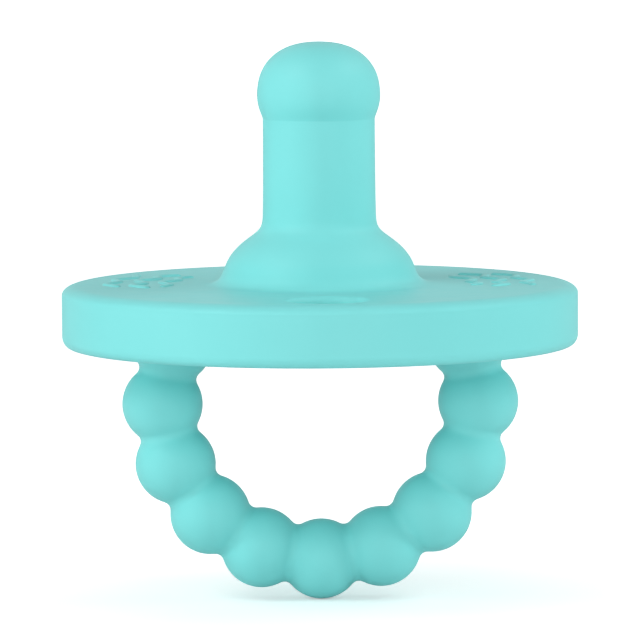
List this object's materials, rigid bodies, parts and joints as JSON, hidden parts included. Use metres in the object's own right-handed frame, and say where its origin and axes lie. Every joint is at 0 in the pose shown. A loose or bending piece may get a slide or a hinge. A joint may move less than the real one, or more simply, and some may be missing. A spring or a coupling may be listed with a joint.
{
  "type": "pacifier",
  "caption": "Soft one-piece baby pacifier: round shield with vent holes, hollow round-tipped teat on a bell-shaped base, and a beaded half-ring handle that folds.",
  "frame": {"origin": "centre of the footprint, at the lowest point of the lowest handle bead, with the teat pointing up", "axes": "+Z along the teat towards its tip, +X from the left handle root to the right one, -Y towards the front, through a vent hole"},
  "size_m": [0.05, 0.05, 0.0542],
  "materials": {
    "silicone": "matte moulded silicone, slightly translucent"
  },
  "bodies": {
    "shield": {"shield": "silicone", "teat_base": "silicone", "handle_root_left": "silicone", "handle_root_right": "silicone"},
    "teat_low": {"teat_neck_lower": "silicone"},
    "teat_mid": {"teat_neck_middle": "silicone"},
    "teat_high": {"teat_neck_upper": "silicone"},
    "teat_tip": {"teat_bulb": "silicone"},
    "handle_top": {"handle_bead_1": "silicone", "handle_bead_9": "silicone"},
    "handle_mid": {"handle_bead_2": "silicone", "handle_bead_8": "silicone"},
    "handle_low": {"handle_bead_3": "silicone", "handle_bead_4": "silicone", "handle_bead_5": "silicone", "handle_bead_6": "silicone", "handle_bead_7": "silicone"}
  },
  "joints": [
    {"name": "teat_bend_fore_aft", "type": "hinge", "parent": "shield", "child": "teat_low", "pos_m": [0, 0, 0.03706], "axis": [1, 0, 0], "range_deg": [-15, 15], "stiffness_Nm_per_rad": 0.05},
    {"name": "teat_bend_sideways", "type": "hinge", "parent": "teat_low", "child": "teat_mid", "pos_m": [0, 0, 0.04031], "axis": [0, 1, 0], "range_deg": [-15, 15], "stiffness_Nm_per_rad": 0.05},
    {"name": "teat_bend_fore_aft_upper", "type": "hinge", "parent": "teat_mid", "child": "teat_high", "pos_m": [0, 0, 0.04356], "axis": [1, 0, 0], "range_deg": [-15, 15], "stiffness_Nm_per_rad": 0.05},
    {"name": "teat_bend_sideways_upper", "type": "hinge", "parent": "teat_high", "child": "teat_tip", "pos_m": [0, 0, 0.04681], "axis": [0, 1, 0], "range_deg": [-15, 15], "stiffness_Nm_per_rad": 0.05},
    {"name": "handle_fold", "type": "hinge", "parent": "shield", "child": "handle_top", "pos_m": [0, 0, 0.02211], "axis": [1, 0, 0], "range_deg": [-20, 20], "stiffness_Nm_per_rad": 0.03},
    {"name": "handle_fold_middle", "type": "hinge", "parent": "handle_top", "child": "handle_mid", "pos_m": [0, 0, 0.01623], "axis": [1, 0, 0], "range_deg": [-14, 14], "stiffness_Nm_per_rad": 0.03},
    {"name": "handle_fold_lower", "type": "hinge", "parent": "handle_mid", "child": "handle_low", "pos_m": [0, 0, 0.01083], "axis": [1, 0, 0], "range_deg": [-10, 10], "stiffness_Nm_per_rad": 0.03}
  ],
  "couplings": [
    {"joint": "teat_bend_fore_aft_upper", "follows": "teat_bend_fore_aft", "ratio": 1},
    {"joint": "teat_bend_sideways_upper", "follows": "teat_bend_sideways", "ratio": 1},
    {"joint": "handle_fold_middle", "follows": "handle_fold", "ratio": 0.7},
    {"joint": "handle_fold_lower", "follows": "handle_fold", "ratio": 0.5}
  ]
}
